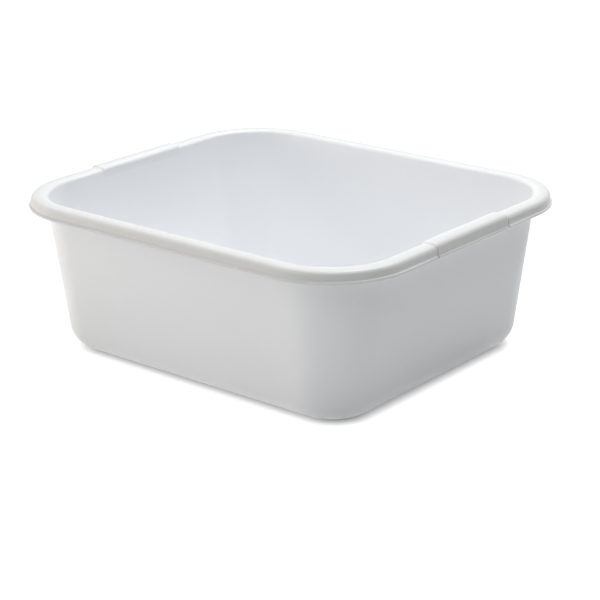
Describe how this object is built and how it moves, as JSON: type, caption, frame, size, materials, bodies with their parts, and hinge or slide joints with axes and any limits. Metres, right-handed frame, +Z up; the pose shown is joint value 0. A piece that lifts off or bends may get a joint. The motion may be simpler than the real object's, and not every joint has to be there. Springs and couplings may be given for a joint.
{
  "type": "washing up bowl",
  "caption": "Deep rounded-rectangular washing up bowl in white plastic, with a rolled rim, a lip bead and a raised hand grip on each short side.",
  "frame": {"origin": "middle of the base, on the surface that the bowl stands on", "axes": "+X along the longer side towards the right grip, +Y along the shorter side towards the back, +Z up"},
  "size_m": [0.368, 0.317, 0.135],
  "materials": {
    "body_plastic": "satin moulded polypropylene, milky white with a slightly cool cast",
    "rim_plastic": "the same milky white polypropylene, a little smoother where the mould was polished, and a touch greyer because no light comes through the folded rim"
  },
  "bodies": {
    "root": {"floor_panel": "body_plastic", "foot_ring": "body_plastic", "front_wall": "body_plastic", "back_wall": "body_plastic", "left_wall": "body_plastic", "right_wall": "body_plastic", "front_left_corner": "body_plastic", "front_right_corner": "body_plastic", "back_left_corner": "body_plastic", "back_right_corner": "body_plastic", "front_rim": "rim_plastic", "back_rim": "rim_plastic", "left_rim": "rim_plastic", "right_rim": "rim_plastic", "front_left_rim": "rim_plastic", "front_right_rim": "rim_plastic", "back_left_rim": "rim_plastic", "back_right_rim": "rim_plastic", "front_skirt": "rim_plastic", "back_skirt": "rim_plastic", "left_skirt": "rim_plastic", "right_skirt": "rim_plastic", "front_left_skirt": "rim_plastic", "front_right_skirt": "rim_plastic", "back_left_skirt": "rim_plastic", "back_right_skirt": "rim_plastic", "left_grip": "rim_plastic", "right_grip": "rim_plastic"}
  },
  "joints": []
}
